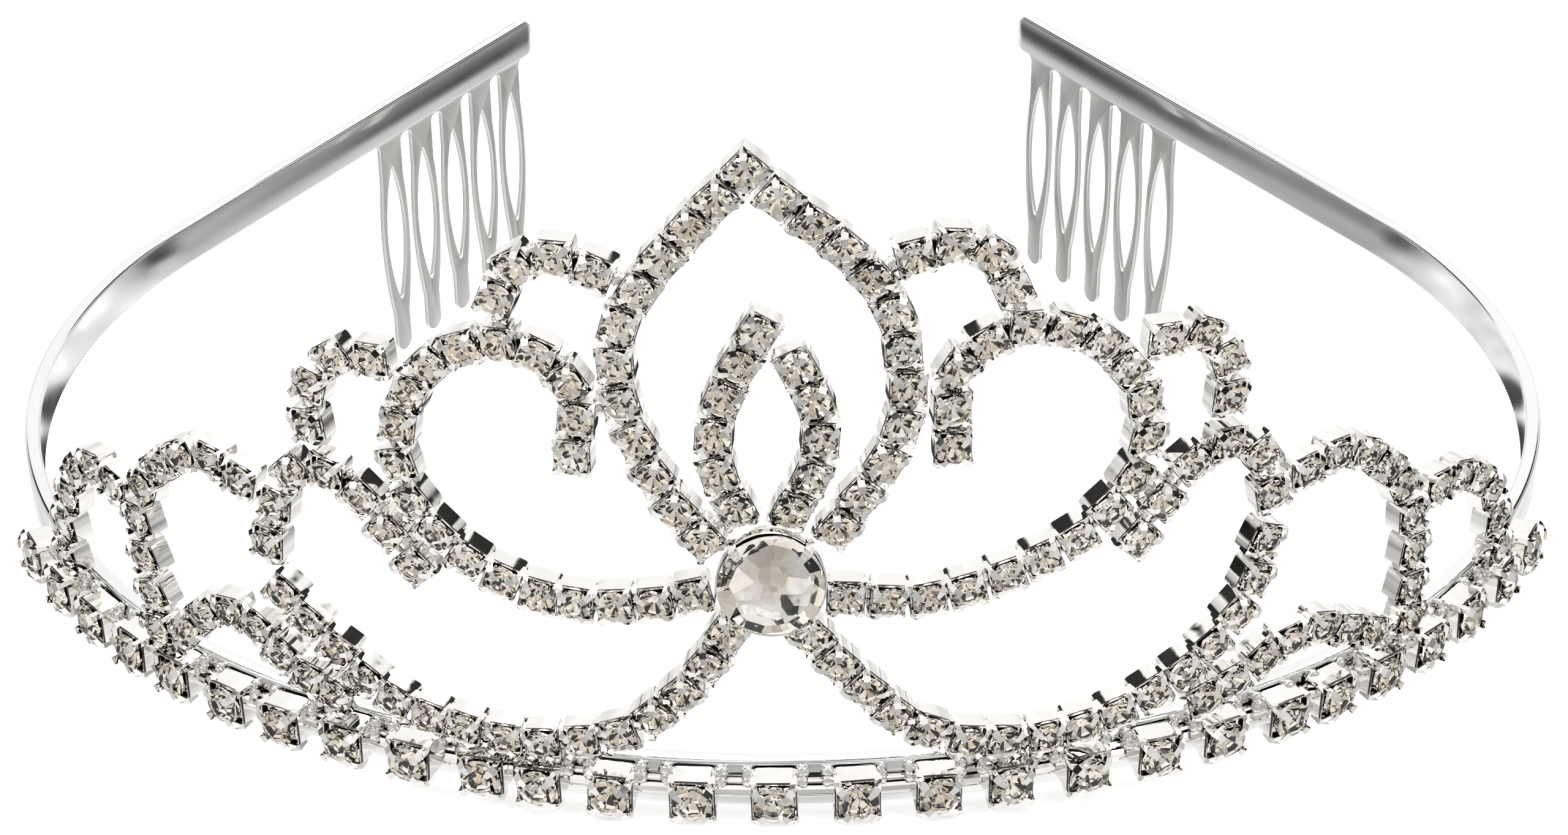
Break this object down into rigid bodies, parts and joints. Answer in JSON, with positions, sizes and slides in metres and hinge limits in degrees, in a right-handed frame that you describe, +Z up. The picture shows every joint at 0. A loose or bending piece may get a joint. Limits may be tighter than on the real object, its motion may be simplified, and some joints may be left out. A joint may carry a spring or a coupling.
{
  "type": "rhinestone tiara",
  "caption": "Horseshoe headband with a comb under each end, a row of square-set stones along its front and an upright openwork crown of looped cup chain round a larger centre stone.",
  "frame": {"origin": "centre of the bounding box, on the surface that the tiara rests on", "axes": "+Z up, +Y from the crown at the front to the open ends of the band at the back, +X to the right as seen from the front"},
  "size_m": [0.1414, 0.1538, 0.0535],
  "materials": {
    "band_metal": "polished silver plate",
    "comb_metal": "dull silver plate on stamped sheet",
    "cup_metal": "bright silver plate",
    "crystal": "cut clear glass"
  },
  "bodies": {
    "root": {"headband": "band_metal", "comb_left": "comb_metal", "comb_right": "comb_metal", "base_row": "cup_metal", "base_row_stones": "crystal", "centre_setting": "cup_metal", "centre_stone": "crystal", "drop_left": "cup_metal", "drop_left_stones": "crystal", "drop_right": "cup_metal", "drop_right_stones": "crystal", "flame_left": "cup_metal", "flame_left_stones": "crystal", "flame_right": "cup_metal", "flame_right_stones": "crystal", "scroll_left": "cup_metal", "scroll_left_stones": "crystal", "scroll_right": "cup_metal", "scroll_right_stones": "crystal", "loop_left": "cup_metal", "loop_left_stones": "crystal", "loop_right": "cup_metal", "loop_right_stones": "crystal", "side_loop_left": "cup_metal", "side_loop_left_stones": "crystal", "side_loop_right": "cup_metal", "side_loop_right_stones": "crystal", "arm_left": "cup_metal", "arm_left_stones": "crystal", "arm_right": "cup_metal", "arm_right_stones": "crystal", "end_loop_left": "cup_metal", "end_loop_left_stones": "crystal", "end_loop_right": "cup_metal", "end_loop_right_stones": "crystal", "tip_loop_left": "cup_metal", "tip_loop_left_stones": "crystal", "tip_loop_right": "cup_metal", "tip_loop_right_stones": "crystal", "scallop_left": "cup_metal", "scallop_left_stones": "crystal", "scallop_right": "cup_metal", "scallop_right_stones": "crystal", "inner_left": "cup_metal", "inner_left_stones": "crystal", "inner_right": "cup_metal", "inner_right_stones": "crystal"}
  },
  "joints": []
}
